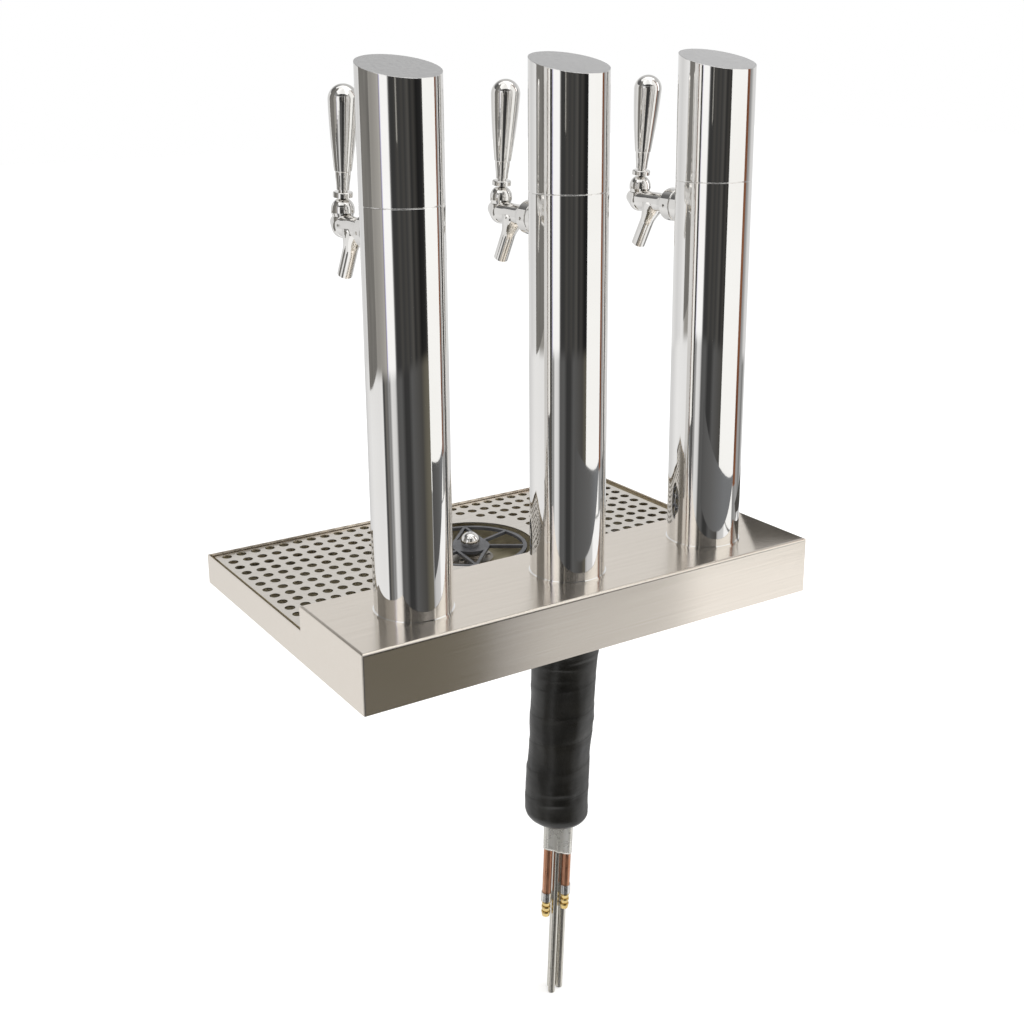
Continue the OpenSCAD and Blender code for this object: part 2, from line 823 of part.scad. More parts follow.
// Coupling nuts that draw the faucets onto their shanks
module coupling_nuts() {
    color(chrome) for (i = [0 : 2])
        outwards(i) difference() {
            rotate_extrude() union() {
                translate([barrel_r + slack, flange_end + snug + nut_round])
                    square([nut_r - barrel_r - slack, nut_l - snug - 2 * nut_round]);
                translate([barrel_r + slack, flange_end + snug])
                    square([nut_r - barrel_r - slack - nut_round, nut_l - snug]);
                for (z = [flange_end + snug + nut_round, nut_end - nut_round])
                    translate([nut_r - nut_round, z]) circle(r = nut_round);
            }
            translate([0, 0, flange_end - over])
                cylinder(r = nut_thread_r, h = nut_l - nut_lip_l + over);
            spanner_holes(nut_r, flange_end + nut_l / 2, spanner_hole_r);
        }
}

// Smooth step between two radii, as points of a turned profile
function eased(r0, r1, z0, z1, steps) = [
    for (k = [0 : steps])
        let (t = k / steps, s = (1 - cos(180 * t)) / 2)
        [r0 + (r1 - r0) * s, z0 + (z1 - z0) * t]
];

// Cone between two spheres that touches both, the larger one at the origin
module round_cone(r0, r1, l) {
    a = asin((r0 - r1) / l);
    rotate_extrude() intersection() {
        union() {
            circle(r = r0);
            translate([0, l]) circle(r = r1);
            polygon([
                [0, 0],
                r0 * [cos(a), sin(a)],
                [r1 * cos(a), l + r1 * sin(a)],
                [0, l],
            ]);
        }
        translate([0, -r0]) square([r0, r0 + l + r1]);
    }
}

// Cast body: tail, barrel, rounded nose, collar for the bonnet and a spout that flares from it
module faucet_body(i) {
    color(chrome) outwards(i) difference() {
        union() {
            translate([0, 0, shank_end + slack])
                cylinder(r = tail_r, h = tail_end - shank_end - slack);
            difference() {
                union() {
                    rotate_extrude() polygon(concat(
                        [[0, shank_end + slack], [barrel_r, shank_end + slack]],
                        eased(barrel_r, neck_r, barrel_end, neck_start, body_steps),
                        eased(neck_r, seat_block_r - seat_block_drop, neck_end, pivot_reach, body_steps),
                        [[0, pivot_reach]]
                    ));
                    translate([0, -seat_block_drop, pivot_reach]) rotate([-nose_tilt, 0, 0])
                        round_cone(seat_block_r, nose_r, nose_l);
                }
                translate([0, seat_ring_top, pivot_reach]) rotate([-90, 0, 0])
                    cylinder(r = seat_cut_r, h = seat_block_r);
            }
            translate([0, 0, pivot_reach]) rotate([-90, 0, 0]) {
                cylinder(r = seat_ring_r, h = seat_ring_top);
                cylinder(r = collar_r, h = collar_top);
            }
            intersection() {
                translate([0, 0, spout_reach]) rotate([90 - spout_angle, 0, 0])
                    rotate_extrude() polygon(concat(
                        [[0, -socket_r]],
                        eased(socket_r, spout_r, 0, socket_l, spout_steps),
                        [[spout_r, spout_l], [0, spout_l]]
                    ));
                translate([-socket_r, -spout_l - socket_r, 0])
                    cube([2 * socket_r, spout_l + socket_r, 2 * pivot_reach]);
            }
        }
        translate([0, 0, shank_end]) cylinder(r = valve_chamber_r, h = valve_seat - shank_end);
        translate([0, 0, valve_seat - over])
            cylinder(r = passage_r, h = guide_start - valve_seat + 2 * over);
        translate([0, 0, guide_start]) cylinder(r = shaft_r + running, h = guide_end - guide_start);
        translate([0, 0, spout_reach]) rotate([90 - spout_angle, 0, 0])
            cylinder(r = spout_bore_r, h = spout_l + over);
        translate([0, pivot_h, pivot_reach]) sphere(r = ball_seat_r);
        translate([-tip_r - tip_play, 0,
            pivot_reach - tip_reach * sin(lever_open - handle_lean) - tip_r - 2 * tip_play])
            cube([2 * (tip_r + tip_play), pivot_h,
                tip_reach * (sin(lever_open - handle_lean) + sin(handle_lean)) + 2 * tip_r + 4 * tip_play]);
    }
}

// Domed cap over the lever's ball, slotted where the lever swings
module bonnet(i) {
    sweep = 2 * bonnet_r;
    w = stem_r + slack;
    a0 = -handle_lean;
    a1 = lever_open - handle_lean;
    start = w * [sin(a0), cos(a0)];
    end = w * [-sin(a1), -cos(a1)];
    color(chrome) at_ball(i) difference() {
        rotate_extrude() intersection() {
            difference() {
                union() {
                    polygon([
                        [0, bonnet_bottom],
                        [bonnet_bottom_r, bonnet_bottom],
                        [bonnet_r, bonnet_shoulder],
                        [bonnet_r, 0],
                        [0, 0],
                    ]);
                    circle(r = bonnet_r);
                }
                circle(r = ball_seat_r);
                translate([0, bonnet_bottom - over])
                    square([collar_r + snug, bonnet_thread_top - bonnet_bottom + over]);
            }
            translate([0, bonnet_bottom]) square([bonnet_r, bonnet_top - bonnet_bottom]);
        }
        translate([w, 0, 0]) rotate([0, -90, 0]) linear_extrude(2 * w)
            polygon([[0, 0], start, start + sweep * [cos(a0), -sin(a0)],
                sweep * [cos(a0) + cos(a1), -sin(a0) - sin(a1)], end + sweep * [cos(a1), -sin(a1)], end]);
        spanner_holes(bonnet_r, bonnet_shoulder / 2, bonnet_hole_r);
    }
}

// Shaft that the lever drives: guide with a pocket, thin stem and sealing head
module valve_shaft(i) {
    pocket = pivot_reach + tip_reach * sin(handle_lean);
    color(steel) outwards(i) difference() {
        union() {
            translate([0, 0, shaft_back]) cylinder(r = shaft_r, h = shaft_front - shaft_back);
            translate([0, 0, valve_seat - valve_head_l - slack])
                cylinder(r = stem_shaft_r, h = shaft_back - valve_seat + valve_head_l + 2 * slack, $fn = 32);
            translate([0, 0, valve_seat - valve_head_l - slack])
                cylinder(r = valve_head_r, h = valve_head_l);
        }
        translate([-tip_r - tip_play, shaft_pocket_floor, pocket - tip_r - tip_play])
            cube([2 * (tip_r + tip_play), shaft_r, 2 * (tip_r + tip_play)]);
    }
}

// Lever: drive tip, ball, stem, cupped collar and stud for the handle
module lever(i) {
    color(chrome) lever_frame(i) {
        sphere(r = ball_r);
        translate([0, 0, -tip_reach]) {
            sphere(r = tip_r, $fn = 32);
            cylinder(r = tip_stem_r, h = tip_reach, $fn = 32);
        }
        cylinder(r = stem_r, h = lever_collar_top - over, $fn = 32);
        rotate_extrude() {
            translate([0, lever_collar_bottom])
                square([lever_collar_r, lever_collar_top - lever_collar_round - lever_collar_bottom]);
            translate([0, lever_collar_bottom])
                square([lever_collar_r - lever_collar_round, lever_collar_top - lever_collar_bottom]);
            translate([lever_collar_r - lever_collar_round, lever_collar_top - lever_collar_round])
                circle(r = lever_collar_round);
        }
        translate([0, 0, lever_collar_top - over])
            cylinder(r = stud_r, h = stud_top - lever_collar_top + over, $fn = 32);
    }
}

module ferrule(i) {
    color(chrome) lever_frame(i) difference() {
        rotate_extrude() polygon(concat(
            [[0, ferrule_start]],
            eased(ferrule_neck_r, ferrule_top_r, ferrule_start, ferrule_start + ferrule_l, ferrule_steps),
            [[0, ferrule_start + ferrule_l]]
        ));
        translate([0, 0, ferrule_start - over])
            cylinder(r = stud_r + snug, h = ferrule_l + 2 * over, $fn = 32);
    }
}

// Tapered handle with a domed end
module handle(i) {
    top = handle_start + handle_l;
    dome_z = top - handle_d / 2;
    color(chrome) lever_frame(i) difference() {
        rotate_extrude() intersection() {
            union() {
                polygon(concat(
                    [
                        [0, handle_start],
                        [handle_base_d / 2 - handle_edge, handle_start],
                        [handle_base_d / 2, handle_start + handle_edge],
                    ],
                    [for (k = [1 : handle_steps])
                        let (t = k / handle_steps, bow = sin(90 * t))
                        [handle_base_d / 2 + (handle_d - handle_base_d) / 2 * (t + bow) / 2,
                            handle_start + (dome_z - handle_start) * t]],
                    [[0, dome_z]]
                ));
                translate([0, dome_z]) circle(d = handle_d);
            }
            translate([0, handle_start]) square([handle_d, handle_l]);
        }
        translate([0, 0, handle_start - over])
            cylinder(r = stud_r + snug, h = handle_socket_l + over, $fn = 32);
    }
}

// Routes of bent tubes: straight runs between corners that are turned at one radius
function unit(v) = v / norm(v);
function turn(p, q, r) = acos(max(-1, min(1, unit(q - p) * unit(r - q))));
function setback(points, k, bend) =
    k == 0 || k == len(points) - 1 ? 0
    : bend[k] * tan(turn(points[k - 1], points[k], points[k + 1]) / 2);

// Straight tube from one point to another
module straight_tube(p, q, r, wall) {
    d = q - p;
    translate(p) rotate([0, acos(d.z / norm(d)), atan2(d.y, d.x)]) difference() {
        cylinder(r = r, h = norm(d), $fn = 32);
        translate([0, 0, -over]) cylinder(r = r - wall, h = norm(d) + 2 * over, $fn = 32);
    }
}

// Part of a tube's ring that turns the route at its corner q
module elbow(p, q, s, bend, r, wall) {
    u = unit(q - p);
    v = unit(s - q);
    angle = turn(p, q, s);
    n = unit(cross(u, v));
    side = cross(n, u);
    centre = q - u * bend * tan(angle / 2) + side * bend;
    m = [
        [-side.x, u.x, n.x, centre.x],
        [-side.y, u.y, n.y, centre.y],
        [-side.z, u.z, n.z, centre.z],
        [0, 0, 0, 1],
    ];
    multmatrix(m) rotate_extrude(angle = angle, $fn = 64) translate([bend, 0]) difference() {
        circle(r = r - lap_step, $fn = 32);
        circle(r = r - wall + lap_step, $fn = 32);
    }
}

// Tube along a route, with its own bend radius at each corner
module bent_tube(points, bend, r, wall) {
    last = len(points) - 1;
    for (k = [0 : last - 1]) {
        u = unit(points[k + 1] - points[k]);
        a = points[k] + u * setback(points, k, bend) - u * (k == 0 ? 0 : lap);
        b = points[k + 1] - u * setback(points, k + 1, bend) + u * (k == last - 1 ? 0 : lap);
        straight_tube(a, b, r, wall);
    }
    for (k = [1 : last - 1])
        elbow(points[k - 1], points[k], points[k + 1], bend[k], r, wall);
}

// Point of the leaning trunk at a given depth below the bar top
function in_trunk(place, depth) = [
    place.x + depth * sin(trunk_lean),
    place.y,
    -depth * cos(trunk_lean),
];
module trunk_frame() {
    rotate([0, -trunk_lean, 0]) children();
}

// Beer line: out of the shank, down the column, across under the deck and down the trunk,
// with a rolled ring that marks how far a fitting goes onto its free end
module beer_line(i) {
    x = column_x[i];
    place = line_places[i];
    head = [
        [x, -shank_inner_end, shank_z],
        [x, place.y, shank_z],
    ];
    across = i == 1 ? [] : [[x, place.y, line_level], [place.x, place.y, line_level]];
    tail = [[place.x, place.y, 0], in_trunk(place, line_l)];
    points = concat(head, across, tail);
    bend = concat([0], [for (k = [2 : len(points) - 2]) line_bend], [gentle_bend * line_bend], [0]);
    color("#c9c8c4") difference() {
        bent_tube(points, bend, line_r, line_wall);
        translate(in_trunk(place, line_l - mark_l)) rotate([0, -trunk_lean, 0]) difference() {
            cylinder(r = line_r + over, h = mark_w, $fn = 32);
            translate([0, 0, -over]) cylinder(r = line_r - mark_depth, h = mark_w + 2 * over, $fn = 32);
        }
    }
}

// Copper coolant line: up into each column in turn, and back to the trunk
module glycol_loop() {
    s = supply_place;
    r = return_place;
    xl = column_x[0];
    xr = column_x[2];
    top = deck_h + loop_top;
    points = [
        in_trunk(s, glycol_l + supply_extra),
        [s.x, s.y, 0],
        [s.x, s.y, supply_level],
        [xl + loop_outer, s.y, supply_level],
        [xl + loop_outer, s.y, top],
        [xl - loop_inner, loop_y, top],
        [xl - loop_inner, loop_y, supply_level],
        [loop_outer, loop_y, supply_level],
        [loop_outer, loop_y, top],
        [-loop_outer, loop_y, top],
        [-loop_outer, loop_y, crossover_level],
        [xr + loop_inner, loop_y, crossover_level],
        [xr + loop_inner, loop_y, top],
        [xr - loop_outer, r.y, top],
        [xr - loop_outer, r.y, supply_level],
        [r.x, r.y, supply_level],
        [r.x, r.y, 0],
        in_trunk(r, glycol_l),
    ];
    function half_gap(a, b) = norm([a.x - b.x, a.y - b.y]) / 2 - 2 * lap;
    b0 = half_gap(points[4], points[5]);
    b1 = half_gap(points[8], points[9]);
    b2 = half_gap(points[12], points[13]);
    g = glycol_bend;
    bend = [0, gentle_bend * g, g, g, b0, b0, g, g, b1, b1, g, g, b2, b2, g, g, gentle_bend * g, 0];
    color(copper) bent_tube(points, bend, glycol_r, glycol_wall);
}

// Brass hose barb soldered onto the end of a coolant line
module barb(place, depth) {
    ridge_l = barb_l / barb_ridges;
    color(brass) translate(in_trunk(place, depth + snug)) trunk_frame() rotate([180, 0, 0]) difference() {
        rotate_extrude() {
            translate([0, -barb_cup_depth]) square([barb_cup_r, barb_cup_l]);
            for (k = [0 : barb_ridges - 1])
                translate([0, barb_cup_l - barb_cup_depth + k * ridge_l]) polygon([
                    [0, 0],
                    [barb_ridge_r, 0],
                    [barb_ridge_r, ridge_l / 4],
                    [barb_neck_r, ridge_l],
                    [0, ridge_l],
                ]);
        }
        translate([0, 0, -barb_cup_depth - over]) cylinder(r = glycol_r + snug, h = barb_cup_depth + over);
        cylinder(r = barb_bore_r, h = barb_cup_l + barb_l, $fn = 32);
    }
}
module supply_barb() { barb(supply_place, glycol_l + supply_extra); }
module return_barb() { barb(return_place, glycol_l); }

// Foil sleeve round the bundle of lines
module foil_wrap() {
    color("#b9b8b4") trunk_frame() translate([bundle_x, bundle_y, -foil_l])
        tube(foil_in_r + foil_t, foil_t, foil_l + foil_top);
}

// Foam sleeve with a rounded lower end, leaning a little more than the lines in it
module trunk_insulation() {
    r = trunk_d / 2;
    color(black) difference() {
        rotate([0, -sleeve_lean, 0]) translate([0, 0, -trunk_l]) rotate_extrude() union() {
            translate([0, foam_bottom_round]) square([r, trunk_l + foam_top - foam_bottom_round]);
            square([r - foam_bottom_round, foam_bottom_round]);
            intersection() {
                translate([r - foam_bottom_round, foam_bottom_round]) circle(r = foam_bottom_round);
                square([r, foam_bottom_round]);
            }
        }
        trunk_frame() translate([bundle_x, bundle_y, -trunk_l - foam_bottom_round])
            cylinder(r = foil_in_r + foil_t + slack, h = trunk_l + 2 * foam_bottom_round);
    }
}

base_shell();
base_plate();
tray_pan();
grid_ledges();
drip_grid();
drain_spud();
drain_nut();
rinser_body();
rinser_nut();
rinser_screws();
rinser_plunger();
rinser_spring();
rinser_star();
spray_head();
column_tube(0);  // left_column_tube
column_tube(1);  // middle_column_tube
column_tube(2);  // right_column_tube
column_cap(0);  // left_column_cap
column_cap(1);  // middle_column_cap
column_cap(2);  // right_column_cap
column_foot(0);  // left_column_foot
column_foot(1);  // middle_column_foot
column_foot(2);  // right_column_foot
foot_screws();
shank(0);  // left_shank
shank(1);  // middle_shank
shank(2);  // right_shank
shank_flange(0);  // left_shank_flange
shank_flange(1);  // middle_shank_flange
shank_flange(2);  // right_shank_flange
shank_nuts();
inner_saddles();
coupling_nuts();
faucet_body(0);  // left_faucet_body
faucet_body(1);  // middle_faucet_body
faucet_body(2);  // right_faucet_body
bonnet(0);  // left_bonnet
bonnet(1);  // middle_bonnet
bonnet(2);  // right_bonnet
valve_shaft(0);  // left_valve_shaft
valve_shaft(1);  // middle_valve_shaft
valve_shaft(2);  // right_valve_shaft
lever(0);  // left_lever
lever(1);  // middle_lever
lever(2);  // right_lever
ferrule(0);  // left_ferrule
ferrule(1);  // middle_ferrule
ferrule(2);  // right_ferrule
handle(0);  // left_handle
handle(1);  // middle_handle
handle(2);  // right_handle
beer_line(0);  // left_beer_line
beer_line(1);  // middle_beer_line
beer_line(2);  // right_beer_line
glycol_loop();
supply_barb();
return_barb();
foil_wrap();
trunk_insulation();
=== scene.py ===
"""Looks for the drink dispensing station: materials, wrapped sleeve, foil, studio, lamps and camera.

Metres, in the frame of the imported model: Z up, columns along X, faucets and tray towards -Y.
"""

import math

import bmesh
import bpy
from mathutils import Matrix, Vector, noise

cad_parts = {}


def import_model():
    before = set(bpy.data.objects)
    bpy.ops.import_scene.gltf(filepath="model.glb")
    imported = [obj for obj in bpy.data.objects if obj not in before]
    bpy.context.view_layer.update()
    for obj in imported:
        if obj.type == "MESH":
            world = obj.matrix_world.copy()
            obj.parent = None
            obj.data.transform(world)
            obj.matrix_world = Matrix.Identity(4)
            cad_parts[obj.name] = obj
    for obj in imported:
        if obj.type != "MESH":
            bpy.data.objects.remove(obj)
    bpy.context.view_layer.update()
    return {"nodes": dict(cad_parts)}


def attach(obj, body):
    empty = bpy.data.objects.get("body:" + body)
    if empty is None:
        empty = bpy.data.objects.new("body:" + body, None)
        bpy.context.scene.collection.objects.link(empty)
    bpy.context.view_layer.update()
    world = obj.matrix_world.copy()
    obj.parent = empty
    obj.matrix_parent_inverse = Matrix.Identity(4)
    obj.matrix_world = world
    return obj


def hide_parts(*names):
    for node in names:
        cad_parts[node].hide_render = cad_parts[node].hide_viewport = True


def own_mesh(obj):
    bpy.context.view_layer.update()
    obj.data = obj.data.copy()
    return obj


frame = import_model()
nodes = frame["nodes"]

# Camera, fitted to the photograph
CAMERA_PLACE = Vector((0.7500, 1.0654, 0.5748))
CAMERA_AIM = Vector((-0.50335, -0.82021, -0.27183))
CAMERA_ROLL = math.radians(-0.77)
CAMERA_LENS = 48.15
CAMERA_SENSOR = 36.0
CAMERA_SHIFT = (0.0266, -0.0788)

# Trunk below the bar top. The lines and the foil lean less than the sleeve
LINES_LEAN = math.radians(2.6)
SLEEVE_LEAN = math.radians(3.8)
# Tubes in the trunk, three beer lines and two coolant lines: centre and radius
TUBES = [(-0.0048, -0.0085, 0.00397), (0.0, 0.0, 0.00397), (-0.0119, -0.0030, 0.00397),
         (0.0096, -0.0031, 0.004765), (-0.0076, 0.0064, 0.004765)]
BUNDLE_CENTRE = (-0.0007, -0.0015)

# Sleeve. Its bore is open at the mouth, and laps, bulges and wrinkles stand in the recess under its outline
SLEEVE_RADIUS = 0.035
SLEEVE_LENGTH = 0.2200
SLEEVE_TOP = 0.0055
SLEEVE_END_ROUND = 0.014
SLEEVE_BORE = 0.0163
SLEEVE_BORE_DEPTH = 0.05
SLEEVE_BORE_EDGE = 0.0015
SLEEVE_LEAST_WALL = 0.003
SLEEVE_RECESS = 0.0016
# Slight waist: how deep, where below the bar top, and how far it reaches
WAIST_PINCH = 0.0012
WAIST_DEPTH = 0.150
WAIST_REACH = 0.040
# Soft bulges with smaller dents: height, and how fast they follow each other round and along
BULGE_HEIGHT = 0.0016
BULGE_AROUND = 1.3
BULGE_ALONG = 26
DENT_HEIGHT = 0.0002
DENT_SCALE = 3.0

# Tape round the sleeve: each turn overlaps the last in a step with a groove beside it
TAPE_PITCH = 0.031
TAPE_STEP = 0.00045
GROOVE_DEPTH = 0.9 * TAPE_STEP
GROOVE_TURN = 0.03
GROOVE_REACH = 0.04
# Wrinkles of the tape: middle angle and depth, reach round and along, height
WRINKLES = [(0.75, 0.022, 0.50, 0.0030, 0.0011), (0.80, 0.036, 0.62, 0.0024, 0.0012),
            (0.70, 0.049, 0.50, 0.0030, 0.0010), (1.55, 0.030, 0.60, 0.0026, -0.0011),
            (0.95, 0.058, 0.60, 0.0040, 0.0008), (0.90, 0.092, 0.45, 0.0050, 0.0006),
            (1.40, 0.120, 0.55, 0.0036, -0.0008), (0.85, 0.176, 0.55, 0.0034, 0.0011),
            (0.90, 0.188, 0.50, 0.0028, 0.0011), (1.60, 0.182, 0.50, 0.0040, -0.0009),
            (3.30, 0.040, 0.60, 0.0030, 0.0011), (3.90, 0.120, 0.55, 0.0040, 0.0009),
            (4.80, 0.070, 0.70, 0.0034, 0.0010), (5.50, 0.160, 0.60, 0.0030, 0.0011),
            (2.50, 0.100, 0.50, 0.0040, 0.0009), (2.90, 0.200, 0.60, 0.0032, 0.0010)]
WRINKLE_BOW = 0.006
WRINKLE_TILT = 0.004

# Foil, with the gap that it keeps from the tubes
FOIL_TOP = 0.004
FOIL_LENGTH = 0.262
FOIL_THICKNESS = 0.0002
FOIL_GAP = 0.0004
FOIL_MOST_RADIUS = 0.0159
# Folds with finer creases: height, and how fast they follow each other round and along
FOLD_HEIGHT = 0.0006
FOLD_SCALE = 1.7
CREASE_HEIGHT = 0.0001
CREASE_SCALE = 4.0
CRUMPLE_AROUND = 2.6
CRUMPLE_ALONG = 18
# Lower edge of the foil: how far it stays above the full length, its slant, and its tears
EDGE_RISE = 0.0040
EDGE_SLANT = 0.0030
EDGE_SLANT_TURN = 2.6
TEAR_HEIGHT = 0.0010
TEAR_AROUND = 3
TEAR_LEVEL = 7

# Slanted top of the columns' caps
CAP_SLOPE = math.radians(14.3)
CAP_EDGE_RADIUS = 0.0009
CAP_TOP_ROUGHNESS = 0.16
# How squarely a face has to look up the slope for the satin to start, and to be full
CAP_TOP_FACING = (0.96, 0.985)

# Height where the solder on each hose fitting ends
SUPPLY_SOLDER_END = -0.3164
RETURN_SOLDER_END = -0.3074
SOLDER_SOFTNESS = 0.001
SOLDER_RAGGED = 0.002


# Node helpers

NOISE_ROUGHNESS = 0.55


class Nodes:
    """Short names for building one material's or world's node tree."""

    def __init__(self, tree):
        self.tree = tree
        tree.nodes.clear()

    def add(self, kind, **values):
        node = self.tree.nodes.new(kind)
        for name, value in values.items():
            setattr(node, name, value)
        return node

    def link(self, output, node, socket):
        self.tree.links.new(output, node.inputs[socket])

    def math(self, operation, first, second=0.5, clamp=False):
        node = self.add("ShaderNodeMath", operation=operation, use_clamp=clamp)
        for index, value in enumerate((first, second)):
            if isinstance(value, (int, float)):
                node.inputs[index].default_value = value
            else:
                self.link(value, node, index)
        return node.outputs[0]

    def coordinate(self, space):
        return self.add("ShaderNodeTexCoord").outputs[space]

    def axes(self, space):
        """X, Y and Z of a texture coordinate."""
        parts = self.add("ShaderNodeSeparateXYZ")
        self.link(self.coordinate(space), parts, 0)
        return parts.outputs

    def noise(self, scale, stretch=(1, 1, 1), detail=4.0):
        mapping = self.add("ShaderNodeMapping")
        mapping.inputs["Scale"].default_value = stretch
        self.link(self.coordinate("Object"), mapping, "Vector")
        texture = self.add("ShaderNodeTexNoise")
        texture.inputs["Scale"].default_value = scale
        texture.inputs["Detail"].default_value = detail
        texture.inputs["Roughness"].default_value = NOISE_ROUGHNESS
        self.link(mapping.outputs[0], texture, "Vector")
        return texture.outputs[0]

    def span(self, value, low, high, start=0.3, end=0.7):
        """Value from low to high while the input goes from start to end."""
        node = self.add("ShaderNodeMapRange")
        self.link(value, node, "Value")
        node.inputs["From Min"].default_value = start
        node.inputs["From Max"].default_value = end
        node.inputs["To Min"].default_value = low
        node.inputs["To Max"].default_value = high
        return node.outputs[0]

    def ramp(self, value, stops):
        """Colour for a value, blended between stops of place and colour."""
        node = self.add("ShaderNodeValToRGB")
        elements = node.color_ramp.elements
        while len(elements) < len(stops):
            elements.new(0.5)
        # All positions come before the colours, in case the elements are sorted in between
        for element, (place, _) in zip(elements, stops):
            element.position = place
        for element, (_, colour) in zip(elements, stops):
            element.color = (*colour, 1)
        self.link(value, node, "Fac")
        return node.outputs[0]

    def blend(self, share, first, second):
        """Mix of two colours, each a tuple or an output."""
        node = self.add("ShaderNodeMix", data_type="RGBA")
        self.link(share, node, 0)
        for index, value in ((6, first), (7, second)):
            if isinstance(value, tuple):
                node.inputs[index].default_value = (*value, 1)
            else:
                self.link(value, node, index)
        return node.outputs[2]

    def bump(self, height, distance, edge_radius=0.0):
        node = self.add("ShaderNodeBump")
        node.inputs["Distance"].default_value = distance
        self.link(height, node, "Height")
        if edge_radius:
            edge = self.add("ShaderNodeBevel", samples=6)
            edge.inputs["Radius"].default_value = edge_radius
            self.link(edge.outputs[0], node, "Normal")
        return node.outputs[0]


def surface(name, metallic, colour, roughness, normal=None, tangent=None, stretched=0.0):
    """Principled material: colour, roughness, normal and tangent are functions that build their nodes."""
    material = bpy.data.materials.new(name)
    material.use_nodes = True
    tree = Nodes(material.node_tree)
    shader = tree.add("ShaderNodeBsdfPrincipled")
    output = tree.add("ShaderNodeOutputMaterial")
    tree.link(shader.outputs[0], output, "Surface")
    shader.inputs["Metallic"].default_value = metallic
    shader.inputs["Anisotropic"].default_value = stretched
    tree.link(colour(tree), shader, "Base Color")
    tree.link(roughness(tree), shader, "Roughness")
    if normal:
        tree.link(normal(tree), shader, "Normal")
    if tangent:
        tree.link(tangent(tree), shader, "Tangent")
    return material


def shade(obj, material):
    """Give an object one material."""
    obj.data.materials.clear()
    obj.data.materials.append(material)


# Materials

# Least share of X in the normal of an end face
END_FACING = 0.7


def tints(low, high, scale, stretch=(1, 1, 1), detail=4.0):
    """Colour that wanders between two tints."""
    return lambda t: t.blend(t.span(t.noise(scale, stretch, detail), 0, 1), low, high)


def spread(low, high, scale, stretch=(1, 1, 1)):
    """Roughness that wanders between two values."""
    return lambda t: t.span(t.noise(scale, stretch), low, high)


def ripple(scale, distance, stretch=(1, 1, 1), detail=4.0, edge_radius=0.0):
    """Fine relief, with rounded edges if a radius is given."""
    return lambda t: t.bump(t.noise(scale, stretch, detail), distance, edge_radius)


def across_grain(t):
    """Direction across the brushing, which runs along X, or along Y on the end faces."""
    end_face = t.math("GREATER_THAN", t.math("ABSOLUTE", t.axes("Normal")[0]), END_FACING)
    grain = t.add("ShaderNodeCombineXYZ")
    t.link(t.math("SUBTRACT", 1.0, end_face), grain, 0)
    t.link(end_face, grain, 1)
    turned = t.add("ShaderNodeVectorMath", operation="CROSS_PRODUCT")
    t.link(t.coordinate("Normal"), turned, 0)
    t.link(grain.outputs[0], turned, 1)
    return turned.outputs[0]


def brushed(name, low, high, rough, grain, depth, stretched=0.0):
    """Brushed steel, with highlights stretched across the grain if stretched is above 0."""
    return surface(name, 1.0, tints(low, high, 3.0, grain), spread(*rough, 5.0, grain),
                   ripple(6.0, depth, grain, 2.0), across_grain if stretched else None, stretched)


GRAIN_ALONG = (2, 220, 220)
GRAIN_UPRIGHT = (260, 260, 3)
# Slow waves in the polished tubes: scale, height, stretch and detail
TUBE_WAVES = (9.0, 0.00004, (1, 1, 0.25), 2.0)

sheet_steel = brushed("sheet_steel", (0.84, 0.77, 0.685), (0.89, 0.825, 0.745), (0.16, 0.21),
                      GRAIN_ALONG, 0.0000018, 0.9)
grid_steel = brushed("grid_steel", (0.74, 0.695, 0.63), (0.82, 0.78, 0.725), (0.18, 0.26),
                     GRAIN_ALONG, 0.000003, 0.8)
# Darker, olive steel for the pan and the grid's ledges: painted shade under the grid, seen through its holes
# and in the gap beside it
steel_with_painted_shade = brushed("steel_with_painted_shade", (0.36, 0.315, 0.20), (0.52, 0.47, 0.33), (0.34, 0.50), GRAIN_ALONG, 0.00001)
hidden_steel = brushed("hidden_steel", (0.45, 0.42, 0.38), (0.58, 0.55, 0.51), (0.28, 0.42),
                       GRAIN_ALONG, 0.00001)
mirror_tint = tints((0.90, 0.885, 0.865), (0.95, 0.94, 0.925), 6.0)
mirror_roughness = spread(0.025, 0.060, 30.0, (1, 1, 0.15))
polished = surface("polished_steel", 1.0, mirror_tint, mirror_roughness, ripple(*TUBE_WAVES))
chrome = surface("chrome", 1.0, tints((0.83, 0.815, 0.79), (0.91, 0.895, 0.87), 40.0),
                 spread(0.03, 0.09, 120.0), ripple(60.0, 0.00003))
line_steel = brushed("line_steel", (0.66, 0.63, 0.57), (0.80, 0.77, 0.70), (0.16, 0.28),
                     GRAIN_UPRIGHT, 0.00001)
copper = surface("copper", 1.0, tints((0.55, 0.24, 0.13), (0.74, 0.42, 0.28), 60.0, (1, 1, 0.3)),
                 spread(0.22, 0.42, 80.0), ripple(120.0, 0.00006))
brass = surface("brass", 1.0, tints((0.62, 0.44, 0.17), (0.80, 0.62, 0.31), 150.0),
                spread(0.16, 0.34, 200.0), ripple(260.0, 0.00004))
star_plastic = surface("star_plastic", 0.0, tints((0.060, 0.061, 0.068), (0.105, 0.107, 0.116), 60.0),
                       spread(0.25, 0.45, 300.0), ripple(700.0, 0.00008))
black_plastic = surface("black_plastic", 0.0, tints((0.012, 0.012, 0.012), (0.03, 0.03, 0.03), 90.0),
                        spread(0.4, 0.6, 300.0))
tape = surface("tape", 0.0, tints((0.0060, 0.0053, 0.0038), (0.0165, 0.0150, 0.0115), 22.0, (1, 1, 2.5)),
               spread(0.27, 0.40, 34.0, (1, 1, 3)), ripple(60.0, 0.00025, (1, 1, 2.5), 2.0))
foil = surface("foil", 0.65, tints((0.68, 0.66, 0.60), (0.97, 0.955, 0.91), 110.0, (1, 1, 0.06), 1.0),
               spread(0.22, 0.36, 90.0), ripple(140.0, 0.00003, (1, 1, 0.08), 1.0))


